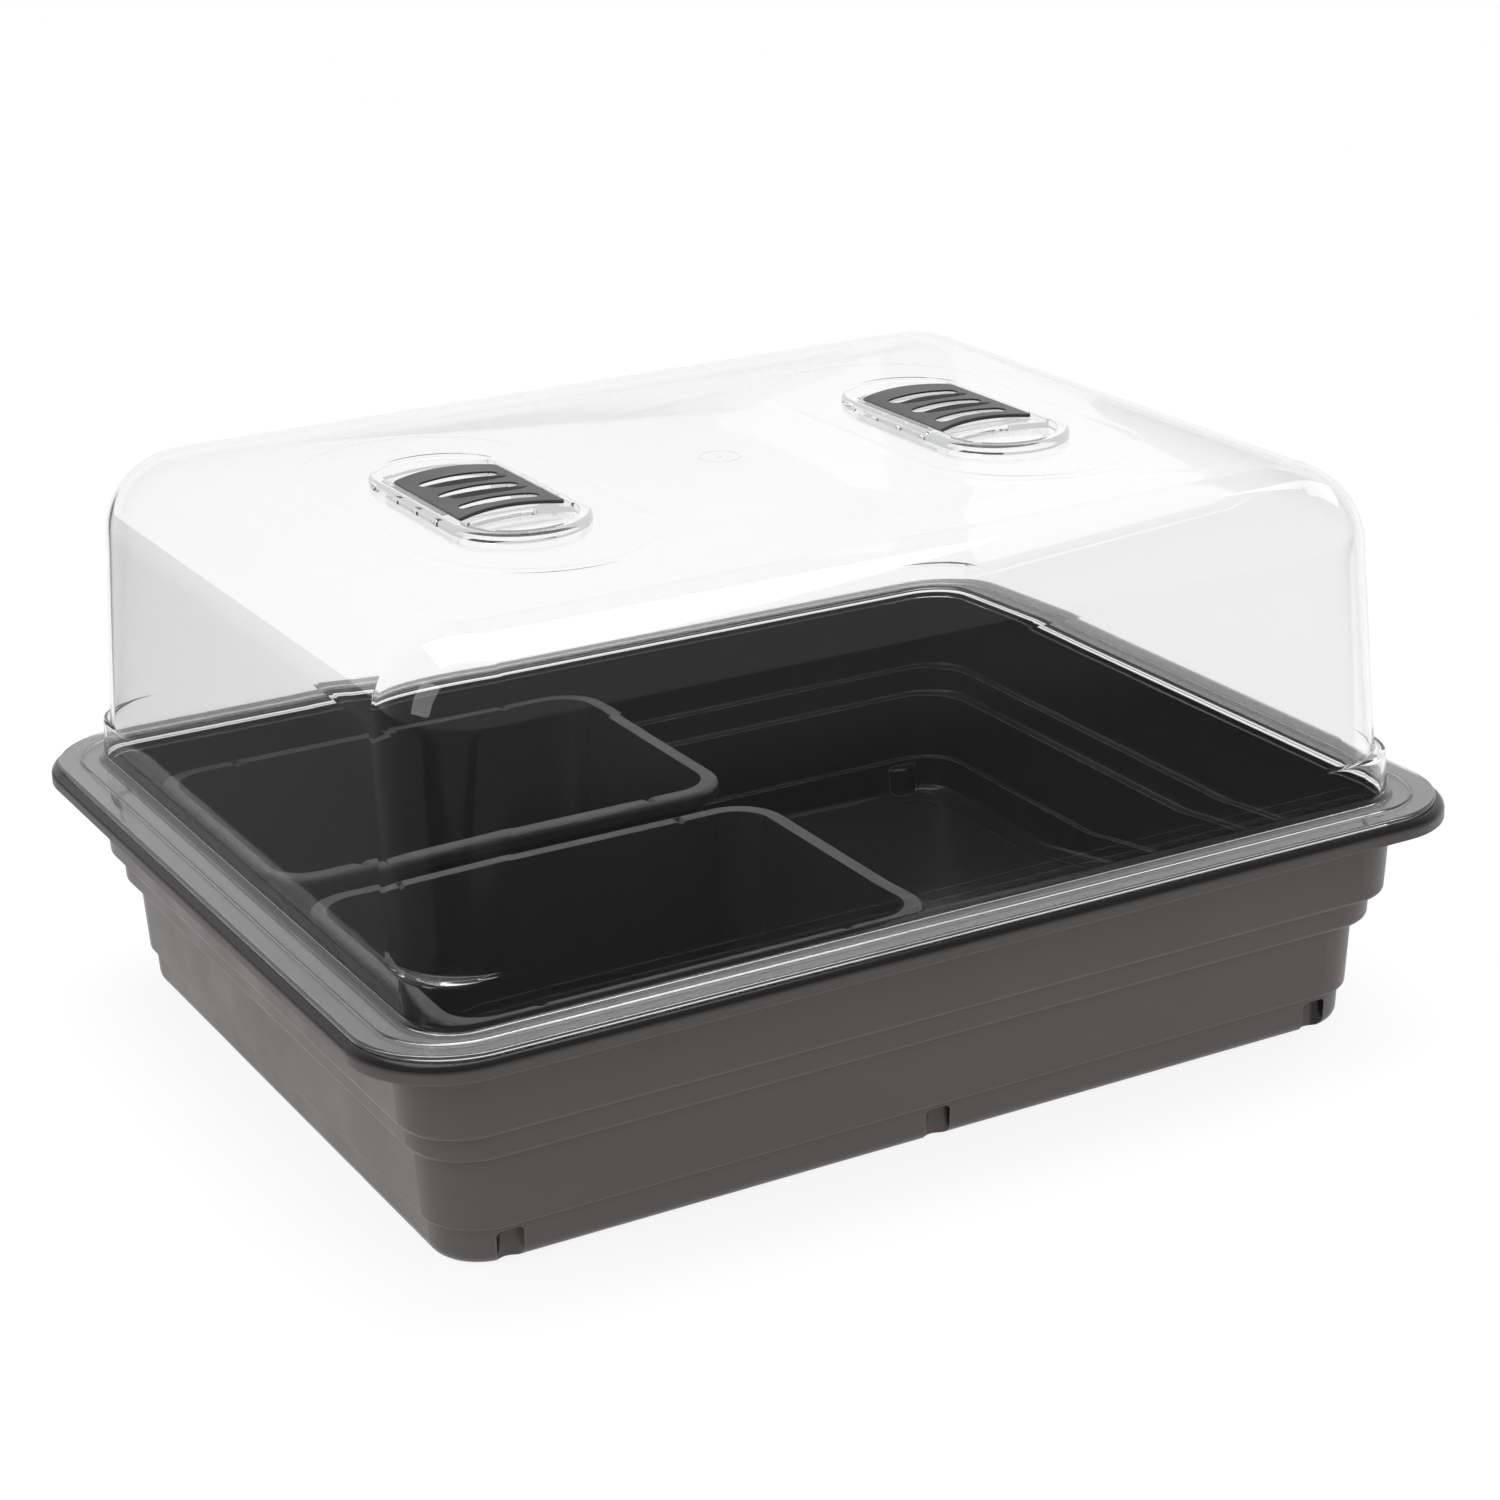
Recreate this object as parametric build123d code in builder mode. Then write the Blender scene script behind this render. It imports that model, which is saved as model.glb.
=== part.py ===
"""Humidity dome tray: a black moulded base tray, a clear lift-off dome with two sliding vents,
and two loose seed trays that stand in the base.

Frame: origin at the centre of the underside of the base, +X along the long side, +Y from the
front to the back, +Z up. Millimetres.
"""
from build123d import *
import math
import os

os.makedirs("parts", exist_ok=True)

# ---------------------------------------------------------------- driving dimensions
RIM_HALF_X = 260.0  # the rim of the base is the widest part: 520 x 424.6
RIM_HALF_Y = 212.3
RIM_RADIUS = 41.0
RIM_TOP = 108.4
RIM_BOTTOM = 100.6
RIM_ROLL = 4.5  # rounding along the outer top edge of the rim

BASE_WALL = 2.2
WALL_DRAFT = 0.058  # outward lean of the base walls, mm per mm of height

# Bands of the base wall from the foot up: (half x, half y, corner radius, lower edge height).
FOOT = (223.4, 175.2, 22.5, 0.0)
LOWER_BAND = (226.8, 179.1, 25.5, 17.7)
MIDDLE_BAND = (233.5, 185.8, 27.5, 51.4)
UPPER_BAND = (238.2, 190.5, 27.0, 64.1)
FOOT_ROUNDING = 6.0
BAND_ROUNDING = 2.6

FLOOR_THICKNESS = 2.4
PANEL_RISE = 3.0  # the floor inside the foot ring stands this much higher
PANEL_HALF_X = 203.0
PANEL_HALF_Y = 155.0
PANEL_RADIUS = 16.0

FLUTE_RADIUS = 6.0
FLUTE_HEIGHT = 15.0
FLUTE_SPACING = 199.0

FLANGE_HALF_X = 257.3
FLANGE_HALF_Y = 209.7
FLANGE_RADIUS = 42.0
FLANGE_THICKNESS = 2.0
REST_GAP = 0.3  # clearance between parts that rest on each other
TOUCH = 0.05  # how close counts as on the same line when edges are chosen
FLANGE_BEAD_INSET = 9.8
FLANGE_BEAD_WIDTH = 1.8
FLANGE_BEAD_HEIGHT = 0.7

DOME_WALL = 2.0
DOME_FOOT_HALF_X = 236.2
DOME_FOOT_HALF_Y = 189.7
DOME_FOOT_RADIUS = 34.0
DOME_TOP_HALF_X = 230.1
DOME_TOP_HALF_Y = 184.2
DOME_TOP_RADIUS = 43.6
DOME_TOP = 257.9
DOME_EDGE_ROUNDING = 36.9
DOME_FOOT_FILLET = 3.0  # sweep from the flange up into the wall and the lugs

LUG_RADIUS = 23.0  # tighter corners below the stacking ledge
LUG_TOP = 131.0
LUG_ROUNDING = 1.8

LOCATING_LIP_DEPTH = 3.2
LOCATING_LIP_INSET = 0.6

GATE_RADIUS = 9.0

VENT_X = 118.5
PLATEAU_LENGTH = 224.0
PLATEAU_WIDTH = 106.0
PLATEAU_RISE = 0.5
FRAME_LENGTH = 138.0
FRAME_WIDTH = 62.0
FRAME_CENTRE_Y = -4.5  # the frame sits a little towards the front of its plateau
FRAME_WALL = 5.0
FRAME_RISE = 4.4  # top of the vent frame above the dome
PLATFORM_RISE = 2.9  # the grille that the slider covers, above the dome
POCKET_HALF_WIDTH = 24.9
ARCH_RISE = 6.0  # the ends of the slider and its slots bow towards the back
ARCH_HALF_CHORD = 25.0
FRONT_ARCH_Y = -36.5
BACK_ARCH_Y = 44.0
CHANNEL_HALF_WIDTH = 22.4
CHANNEL_RISE = 0.9

SLIDER_HALF_WIDTH = 24.5
SLIDER_FRONT_Y = -32.5
SLIDER_BACK_Y = 35.0
SLIDER_THICKNESS = 2.5
SLIDER_CROWN = 1.1
SLIDER_SKIRT = 1.6
SKIRT_DROP = 2.0
TONGUE_REACH = 1.6
TONGUE_HALF_LENGTH = 26.0
RIGHT_SLIDER_SHIFT = 6.0  # the right vent stands nearly open
SLIDER_TRAVEL = 8.0

SLOT_LENGTH = 37.0
SLOT_WIDTH = 6.4
SLOT_PITCH = 20.0
SLOT_FIRST_Y = 17.0  # slot nearest the back, with the slider shut
SCOOP_LENGTH = 36.0
SCOOP_HALF_WIDTH = 5.2
SCOOP_DEPTH = 1.5

SEED_HALF_X = 113.0
SEED_HALF_Y = 80.0
SEED_RADIUS = 24.0
SEED_RIM_TOP = 98.0
SEED_RIM_WIDTH = 6.0
SEED_RIM_DROP = 6.0
SEED_WALL = 1.8
SEED_TAPER = 7.0
SEED_X = -103.0
SEED_FRONT_Y = -87.0
SEED_BACK_Y = 91.0
SEED_FOOT_RISE = 2.5
SEED_PAD = (83.0, 51.0, 8.0)  # raised bottom panels between the feet: x, y, corner radius
SEED_PAD_X = 46.5
SEED_PAD_Y = 30.5
DRAIN_RADIUS = 2.6
DRAIN_PITCH = 36.0
NICK_X = 70.0  # small V nicks across the inner half of the long rims
NICK_HALF_WIDTH = 2.4
NICK_DEPTH = 1.3
NICK_REACH = SEED_HALF_Y - 2.6


# ---------------------------------------------------------------- shared shapes
def tapered_block(lower, upper, foot_round=0.0, top_round=0.0):
    """Block between two rounded rectangles, each (half x, half y, corner radius, height)."""
    with BuildPart() as block:
        for half_x, half_y, radius, height in (lower, upper):
            with BuildSketch(Plane.XY.offset(height)):
                RectangleRounded(2 * half_x, 2 * half_y, radius)
        loft(ruled=True)
        if foot_round:
            fillet(block.faces().sort_by(Axis.Z)[0].edges(), foot_round)
        if top_round:
            fillet(block.faces().sort_by(Axis.Z)[-1].edges(), top_round)
    return block.part


def wall_band(band, top, inset=0.0, foot_round=0.0):
    """One leaning band of the base wall from its lower edge up to the height top."""
    half_x, half_y, radius, bottom = band
    lower = (half_x - inset, half_y - inset, radius - inset, bottom + inset)
    lean = WALL_DRAFT * (top - bottom)
    upper = (half_x + lean - inset, half_y + lean - inset, radius + lean - inset, top)
    return tapered_block(lower, upper, foot_round)


def arch_arc(half_chord, middle_y, x=0.0):
    """Arc bowed towards the back, with the curvature that all vent details share."""
    bow_radius = (ARCH_HALF_CHORD**2 + ARCH_RISE**2) / (2 * ARCH_RISE)
    drop = bow_radius - math.sqrt(bow_radius**2 - half_chord**2)
    return ThreePointArc(
        (x - half_chord, middle_y - drop),
        (x, middle_y),
        (x + half_chord, middle_y - drop),
    )


def arched_panel(x, half_width, front_y, back_y, bottom, top):
    """Plate with straight sides and both ends bowed towards the back."""
    with BuildPart() as panel:
        with BuildSketch(Plane.XY.offset(bottom)):
            with BuildLine():
                back = arch_arc(half_width, back_y, x)
                front = arch_arc(half_width, front_y, x)
                Line(back @ 0, front @ 0)
                Line(back @ 1, front @ 1)
            make_face()
        extrude(amount=top - bottom)
    return panel.part


def vent_slots(x, first_y, bottom, top):
    """Three bowed slots in a row, as solids to cut away."""
    with BuildPart() as slots:
        for index in range(3):
            with BuildLine(mode=Mode.PRIVATE) as path:
                arch_arc((SLOT_LENGTH - SLOT_WIDTH) / 2, first_y - index * SLOT_PITCH, x)
            with BuildSketch(Plane.XY.offset(bottom)):
                SlotArc(path.line.edge(), SLOT_WIDTH)
            extrude(amount=top - bottom)
    return slots.part


# ---------------------------------------------------------------- base tray
base_bands = [FOOT, LOWER_BAND, MIDDLE_BAND, UPPER_BAND]
band_tops = [LOWER_BAND[3], MIDDLE_BAND[3], UPPER_BAND[3], RIM_TOP]
band_rounds = [FOOT_ROUNDING, 1.2, BAND_ROUNDING, BAND_ROUNDING]
outer_bands = [
    wall_band(band, top + 0.5 * (top < RIM_TOP), foot_round=rounding)
    for band, top, rounding in zip(base_bands, band_tops, band_rounds)
]
inner_bands = [
    wall_band(band, top + BASE_WALL + 0.5, BASE_WALL, foot_round=rounding)
    for band, top, rounding in zip(base_bands, band_tops, (3.8, 0.6, 1.0, 1.0))
]
rim_plan = (RIM_HALF_X, RIM_HALF_Y, RIM_RADIUS)
rim_block = tapered_block((*rim_plan, RIM_BOTTOM), (*rim_plan, RIM_TOP), top_round=RIM_ROLL)
rim_hollow = tapered_block(
    (RIM_HALF_X - BASE_WALL, RIM_HALF_Y - BASE_WALL, RIM_RADIUS - BASE_WALL, RIM_BOTTOM - 1),
    (RIM_HALF_X - BASE_WALL, RIM_HALF_Y - BASE_WALL, RIM_RADIUS - BASE_WALL, RIM_TOP - BASE_WALL),
    top_round=2.4,
)
panel_inside = tapered_block(
    (PANEL_HALF_X + 2, PANEL_HALF_Y + 2, PANEL_RADIUS + 2, 0.5),
    (PANEL_HALF_X, PANEL_HALF_Y, PANEL_RADIUS, FLOOR_THICKNESS + PANEL_RISE),
    top_round=1.2,
)
panel_below = tapered_block(
    (PANEL_HALF_X - 1, PANEL_HALF_Y - 1, PANEL_RADIUS - 1, -1.0),
    (PANEL_HALF_X - 3, PANEL_HALF_Y - 3, PANEL_RADIUS - 3, PANEL_RISE),
)
FLUTE_PLACES = [
    (column * FLUTE_SPACING, side * (FOOT[1] + 0.4)) for column in (-1, 0, 1) for side in (-1, 1)
]

with BuildPart() as flutes:
    with BuildSketch(Plane.XY.offset(-1)):
        with Locations(*FLUTE_PLACES):
            Circle(FLUTE_RADIUS)
    extrude(amount=FLUTE_HEIGHT + 1)
    chamfer(flutes.faces().filter_by(Axis.Z).sort_by(Axis.Z)[-6:].edges(), 1.6)

with BuildPart() as flute_cores:
    with BuildSketch(Plane.XY.offset(0.5)):
        with Locations(*FLUTE_PLACES):
            Circle(FLUTE_RADIUS + BASE_WALL)
    extrude(amount=FLUTE_HEIGHT + BASE_WALL - 0.5)
    fillet(flute_cores.faces().filter_by(Axis.Z).sort_by(Axis.Z)[-6:].edges(), 2.0)

with BuildPart() as cavity:
    for band in inner_bands:
        add(band)
    add(flute_cores.part, mode=Mode.SUBTRACT)
    add(panel_inside, mode=Mode.SUBTRACT)

with BuildPart() as base_tray:
    add(rim_block)
    add(rim_hollow, mode=Mode.SUBTRACT)
    for band in outer_bands:
        add(band)
    add(cavity.part, mode=Mode.SUBTRACT)
    add(panel_below, mode=Mode.SUBTRACT)
    add(flutes.part, mode=Mode.SUBTRACT)
base_tray.part.label = "base_tray"
export_step(base_tray.part, "parts/base_tray.step")


# ---------------------------------------------------------------- dome
FLANGE_BOTTOM = RIM_TOP + REST_GAP
FLANGE_TOP = FLANGE_BOTTOM + FLANGE_THICKNESS


def dome_shell(inset):
    """Upper body of the dome with its corner lugs, shrunk on every side by inset."""
    body = tapered_block(
        (DOME_FOOT_HALF_X - inset, DOME_FOOT_HALF_Y - inset, DOME_FOOT_RADIUS - inset, FLANGE_TOP),
        (DOME_TOP_HALF_X - inset, DOME_TOP_HALF_Y - inset, DOME_TOP_RADIUS - inset, DOME_TOP - inset),
        top_round=DOME_EDGE_ROUNDING - inset,
    )
    lean_x = (DOME_FOOT_HALF_X - DOME_TOP_HALF_X) / (DOME_TOP - FLANGE_TOP)
    lean_y = (DOME_FOOT_HALF_Y - DOME_TOP_HALF_Y) / (DOME_TOP - FLANGE_TOP)
    rise = LUG_TOP - inset - FLANGE_TOP
    lugs = tapered_block(
        (DOME_FOOT_HALF_X - inset, DOME_FOOT_HALF_Y - inset, LUG_RADIUS - inset, FLANGE_TOP),
        (
            DOME_FOOT_HALF_X - inset - lean_x * rise,
            DOME_FOOT_HALF_Y - inset - lean_y * rise,
            LUG_RADIUS - inset,
            LUG_TOP - inset,
        ),
        top_round=LUG_ROUNDING,
    )
    return body, lugs


outer_body, outer_lugs = dome_shell(0.0)
inner_body, inner_lugs = dome_shell(DOME_WALL)
lip_plan = [DOME_FOOT_HALF_X - LOCATING_LIP_INSET, DOME_FOOT_HALF_Y - LOCATING_LIP_INSET, LUG_RADIUS]
lip_block = tapered_block(
    (*lip_plan, FLANGE_BOTTOM - LOCATING_LIP_DEPTH), (*lip_plan, FLANGE_TOP), foot_round=0.8
)
throat_plan = (DOME_FOOT_HALF_X - DOME_WALL, DOME_FOOT_HALF_Y - DOME_WALL, LUG_RADIUS - DOME_WALL)
throat = tapered_block((*throat_plan, FLANGE_BOTTOM - 6), (*throat_plan, FLANGE_TOP))
flange_plan = (FLANGE_HALF_X, FLANGE_HALF_Y, FLANGE_RADIUS)
flange = tapered_block((*flange_plan, FLANGE_BOTTOM), (*flange_plan, FLANGE_TOP), top_round=1.4)

with BuildPart() as flange_bead:
    with BuildSketch(Plane.XY.offset(FLANGE_TOP - 0.5)):
        for inset, mode in ((0.0, Mode.ADD), (FLANGE_BEAD_WIDTH, Mode.SUBTRACT)):
            offset_in = FLANGE_BEAD_INSET + inset
            RectangleRounded(
                2 * (FLANGE_HALF_X - offset_in),
                2 * (FLANGE_HALF_Y - offset_in),
                FLANGE_RADIUS - offset_in,
                mode=mode,
            )
    extrude(amount=FLANGE_BEAD_HEIGHT + 0.5)
    fillet(flange_bead.faces().sort_by(Axis.Z)[-1].edges(), 0.6)

FRAME_TOP = DOME_TOP + FRAME_RISE
PLATFORM_TOP = DOME_TOP + PLATFORM_RISE
PLATEAU_TOP = DOME_TOP + PLATEAU_RISE
CHANNEL_FLOOR = DOME_TOP + CHANNEL_RISE
SLIDER_BOTTOM = PLATFORM_TOP + REST_GAP
FRAME_END_RADIUS = FRAME_WIDTH / 2 - FRAME_WALL
WELL_CENTRE_Y = FRAME_CENTRE_Y - FRAME_LENGTH / 2 + FRAME_WIDTH / 2


def vent_frame(x):
    """Raised clear racetrack that carries one slider."""
    with BuildPart() as frame:
        with BuildSketch(Plane.XY.offset(DOME_TOP - 1)):
            with Locations((x, 0)):
                SlotOverall(PLATEAU_LENGTH, PLATEAU_WIDTH, rotation=90)
        extrude(amount=PLATEAU_RISE + 1)
        fillet(frame.faces().sort_by(Axis.Z)[-1].edges(), 0.4)
        with BuildSketch(Plane.XY.offset(DOME_TOP - 1)):
            with Locations((x, FRAME_CENTRE_Y)):
                SlotOverall(FRAME_LENGTH, FRAME_WIDTH, rotation=90)
        extrude(amount=FRAME_RISE + 1)
        fillet(frame.faces().sort_by(Axis.Z)[-1].edges(), 1.3)
    return frame.part


def vent_cuts(x):
    """Everything cut out of one vent frame: slider pocket, front well, channels and slots."""
    above = FRAME_TOP + 2
    pocket = arched_panel(x, POCKET_HALF_WIDTH, FRONT_ARCH_Y - 1, BACK_ARCH_Y, PLATFORM_TOP, above)
    platform_keep = arched_panel(x, FRAME_END_RADIUS + 1, FRONT_ARCH_Y, 0, PLATEAU_TOP - 1, above)
    slots = vent_slots(x, SLOT_FIRST_Y + SLIDER_TRAVEL, DOME_TOP - 10, above)
    with BuildPart() as well:
        with BuildSketch(Plane.XY.offset(PLATEAU_TOP)):
            with Locations((x, WELL_CENTRE_Y)):
                Circle(FRAME_END_RADIUS)
        extrude(amount=above - PLATEAU_TOP)
        add(platform_keep, mode=Mode.SUBTRACT)
    with BuildPart() as channels:
        channel_width = POCKET_HALF_WIDTH - CHANNEL_HALF_WIDTH
        middle = (TONGUE_HALF_LENGTH + 1 + SLIDER_TRAVEL / 2) * 2
        for side in (-1, 1):
            with BuildSketch(Plane.XY.offset(CHANNEL_FLOOR)):
                with Locations((x + side * (CHANNEL_HALF_WIDTH + channel_width / 2), SLIDER_TRAVEL / 2)):
                    Rectangle(channel_width + 0.02, middle)
            extrude(amount=above - CHANNEL_FLOOR)
            with BuildSketch(Plane.XY.offset(CHANNEL_FLOOR)):
                with Locations((x + side * (POCKET_HALF_WIDTH + TONGUE_REACH / 2), SLIDER_TRAVEL / 2)):
                    Rectangle(TONGUE_REACH + 0.6, middle)
            extrude(amount=SLIDER_BOTTOM - CHANNEL_FLOOR - 0.2)
    return [pocket, well.part, channels.part, slots]


vent_frames = [vent_frame(side * VENT_X) for side in (-1, 1)]
vent_openings = [cut for side in (-1, 1) for cut in vent_cuts(side * VENT_X)]

with BuildPart() as gate_mark:
    with BuildSketch(Plane.XY.offset(DOME_TOP - 0.2)):
        Circle(GATE_RADIUS)
        Circle(GATE_RADIUS - 0.8, mode=Mode.SUBTRACT)
        Circle(1.3)
    extrude(amount=0.5)


def on_dome_foot(edge):
    """True for the edges where the outside of the dome meets the flange."""
    box = edge.bounding_box()
    level = abs(box.min.Z - FLANGE_TOP) + abs(box.max.Z - FLANGE_TOP) < TOUCH
    reach_x = max(box.max.X, -box.min.X) - DOME_FOOT_HALF_X
    reach_y = max(box.max.Y, -box.min.Y) - DOME_FOOT_HALF_Y
    return level and max(reach_x, reach_y) > -TOUCH and max(reach_x, reach_y) < TOUCH


with BuildPart() as dome:
    add(outer_body)
    add(outer_lugs)
    add(inner_body, mode=Mode.SUBTRACT)
    add(inner_lugs, mode=Mode.SUBTRACT)
    add(flange)
    add(flange_bead.part)
    add(lip_block)
    add(throat, mode=Mode.SUBTRACT)
    for frame in vent_frames:
        add(frame)
    for cut in vent_openings:
        add(cut, mode=Mode.SUBTRACT)
    add(gate_mark.part)
    foot_edges = dome.edges().filter_by(on_dome_foot)
    fillet(foot_edges, DOME_FOOT_FILLET)
dome.part.label = "dome"
export_step(dome.part, "parts/dome.step")


# ---------------------------------------------------------------- vent sliders
def vent_slider(x, shift):
    """Slotted plate with side skirts whose tongues run in the grooves of the frame."""
    front, back = SLIDER_FRONT_Y + shift, SLIDER_BACK_Y + shift
    top = SLIDER_BOTTOM + SLIDER_THICKNESS
    plate = arched_panel(x, SLIDER_HALF_WIDTH, front, back, SLIDER_BOTTOM, top)
    slots = vent_slots(x, SLOT_FIRST_Y + shift, SLIDER_BOTTOM - 5, top + 5)
    crown_radius = SLIDER_HALF_WIDTH**2 / (2 * SLIDER_CROWN)
    with BuildPart() as crown:
        with BuildSketch(Plane.XZ.offset(100)):
            with Locations((x, top - crown_radius)):
                Circle(crown_radius)
        extrude(amount=-200)
    scoop_radius = (SCOOP_HALF_WIDTH**2 + SCOOP_DEPTH**2) / (2 * SCOOP_DEPTH)
    with BuildPart() as scoops:
        for index in range(2):
            middle_y = SLOT_FIRST_Y + shift - (index + 0.44) * SLOT_PITCH
            axis_z = top + scoop_radius - SCOOP_DEPTH
            with BuildSketch(Plane((x, middle_y, axis_z), x_dir=(1, 0, 0), z_dir=(0, -1, 0))):
                with BuildLine():
                    belly = ThreePointArc(
                        (-SCOOP_LENGTH / 2, -scoop_radius + SCOOP_DEPTH),
                        (0, -scoop_radius),
                        (SCOOP_LENGTH / 2, -scoop_radius + SCOOP_DEPTH),
                    )
                    Polyline(belly @ 0, (-SCOOP_LENGTH / 2, 0), (SCOOP_LENGTH / 2, 0), belly @ 1)
                make_face()
            revolve(axis=Axis((x, middle_y, axis_z), (1, 0, 0)))
    with BuildPart() as slider:
        add(plate)
        add(crown.part, mode=Mode.INTERSECT)
        fillet(slider.faces().sort_by(Axis.Z)[-1].edges(), 0.7)
        for side in (-1, 1):
            with BuildSketch(Plane.XY.offset(SLIDER_BOTTOM - SKIRT_DROP + 0.3)):
                with Locations((x + side * (SLIDER_HALF_WIDTH - SLIDER_SKIRT / 2), shift)):
                    Rectangle(SLIDER_SKIRT, 2 * TONGUE_HALF_LENGTH)
            extrude(amount=SKIRT_DROP)
            with BuildSketch(Plane.XY.offset(SLIDER_BOTTOM - SKIRT_DROP + 0.3)):
                with Locations((x + side * (SLIDER_HALF_WIDTH + TONGUE_REACH / 2 - 0.1), shift)):
                    Rectangle(TONGUE_REACH + 0.2, 2 * TONGUE_HALF_LENGTH)
            extrude(amount=SKIRT_DROP - 0.9)
        add(scoops.part, mode=Mode.SUBTRACT)
        add(slots, mode=Mode.SUBTRACT)
    return slider.part


for name, x, shift in (
    ("vent_slider_left", -VENT_X, 0.0),
    ("vent_slider_right", VENT_X, RIGHT_SLIDER_SHIFT),
):
    slider = vent_slider(x, shift)
    slider.label = name
    export_step(slider, f"parts/{name}.step")


# ---------------------------------------------------------------- seed trays
SEED_BOTTOM = FLOOR_THICKNESS + PANEL_RISE + REST_GAP


def seed_tray():
    """Deep drained tray with a turned-down rim, centred on the Z axis."""
    body_x, body_y = SEED_HALF_X - SEED_RIM_WIDTH, SEED_HALF_Y - SEED_RIM_WIDTH
    body_radius = SEED_RADIUS - SEED_RIM_WIDTH
    shell = [
        tapered_block(
            (body_x - SEED_TAPER - t, body_y - SEED_TAPER - t, body_radius - t / 2, SEED_BOTTOM + lift),
            (body_x - t, body_y - t, body_radius - t / 2, SEED_RIM_TOP + extra),
            foot_round=foot,
        )
        for t, lift, extra, foot in (
            (0.0, 0.0, 0.0, 5.0),
            (SEED_WALL, SEED_FOOT_RISE + SEED_WALL, 1.0, 4.0),
        )
    ]
    rim = (SEED_HALF_X, SEED_HALF_Y, SEED_RADIUS)
    under = (SEED_HALF_X - SEED_WALL, SEED_HALF_Y - SEED_WALL, SEED_RADIUS - SEED_WALL)
    rim_solid = tapered_block(
        (*rim, SEED_RIM_TOP - SEED_RIM_DROP), (*rim, SEED_RIM_TOP), top_round=2.6
    )
    rim_core = tapered_block(
        (*under, SEED_RIM_TOP - SEED_RIM_DROP - 1), (*under, SEED_RIM_TOP - SEED_WALL), top_round=1.2
    )
    with BuildPart() as tray:
        add(rim_solid)
        add(rim_core, mode=Mode.SUBTRACT)
        add(shell[0])
        add(shell[1], mode=Mode.SUBTRACT)
        with BuildSketch(Plane.XY.offset(SEED_BOTTOM - 1)):
            with GridLocations(2 * SEED_PAD_X, 2 * SEED_PAD_Y, 2, 2):
                RectangleRounded(*SEED_PAD)
        extrude(amount=SEED_FOOT_RISE + 1, mode=Mode.SUBTRACT)
        with BuildSketch(Plane.XY.offset(SEED_BOTTOM)):
            with GridLocations(DRAIN_PITCH, DRAIN_PITCH, 5, 3):
                Circle(DRAIN_RADIUS)
        extrude(amount=SEED_FOOT_RISE + 2 * SEED_WALL, mode=Mode.SUBTRACT)
        with BuildSketch(Plane.XZ):
            with Locations((-NICK_X, SEED_RIM_TOP), (NICK_X, SEED_RIM_TOP)):
                Polygon(
                    (-NICK_HALF_WIDTH, 0), (NICK_HALF_WIDTH, 0), (0, -NICK_DEPTH), align=None
                )
        extrude(amount=NICK_REACH, both=True, mode=Mode.SUBTRACT)
    return tray.part


for name, y in (("seed_tray_front", SEED_FRONT_Y), ("seed_tray_back", SEED_BACK_Y)):
    tray = seed_tray().moved(Location((SEED_X, y, 0)))
    tray.label = name
    export_step(tray, f"parts/{name}.step")
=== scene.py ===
"""Looks of the humidity dome tray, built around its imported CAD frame. Metres, +Z up."""

import math

import bmesh
import bpy
from mathutils import Matrix, Vector


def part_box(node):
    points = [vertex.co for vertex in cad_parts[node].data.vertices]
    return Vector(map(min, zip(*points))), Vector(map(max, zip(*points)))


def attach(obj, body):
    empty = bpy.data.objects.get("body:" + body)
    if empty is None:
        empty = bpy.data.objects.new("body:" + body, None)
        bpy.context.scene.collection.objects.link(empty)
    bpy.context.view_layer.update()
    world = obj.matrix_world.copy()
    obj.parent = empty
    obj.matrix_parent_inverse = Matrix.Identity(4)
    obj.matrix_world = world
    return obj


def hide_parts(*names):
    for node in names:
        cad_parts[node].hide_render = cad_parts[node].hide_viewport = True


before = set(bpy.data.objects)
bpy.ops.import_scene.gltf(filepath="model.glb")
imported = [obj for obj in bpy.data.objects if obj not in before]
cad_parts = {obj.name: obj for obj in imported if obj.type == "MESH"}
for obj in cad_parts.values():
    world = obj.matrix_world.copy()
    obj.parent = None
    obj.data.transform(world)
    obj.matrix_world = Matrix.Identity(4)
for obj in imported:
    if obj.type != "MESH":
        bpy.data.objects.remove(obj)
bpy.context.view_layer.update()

MM = 0.001

# ---------------------------------------------------------------- camera and light
CAMERA_PLACE = (-0.67366, -1.24094, 0.64531)
CAMERA_AZIMUTH = -28.9
CAMERA_ELEVATION = 20.4
CAMERA_ROLL = -1.5
CAMERA_LENS = 79.86  # millimetres on a 36 mm frame

# Lamps: name, place, size, watts, and whether mirror images show them.
LAMP_TARGET = (0.0, 0.0, 0.1)
LAMPS = (
    ("overhead", (0.1, 0.35, 2.3), (2.2, 1.6), 34.0, True),
    ("left", (-2.1, -0.5, 1.3), (0.9, 1.5), 14.0, False),
    ("right", (1.9, 0.2, 1.5), (0.9, 1.2), 9.0, False),
)

FLOOR_RADIUS = 14.0
FLOOR_PALE = (0.90, 0.92)
FLOOR_GLOW = 0.86  # share of the floor's own light beside the object
FLOOR_GLOW_REACH = (0.45, 1.3)  # from here outwards that share grows to all of it

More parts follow.
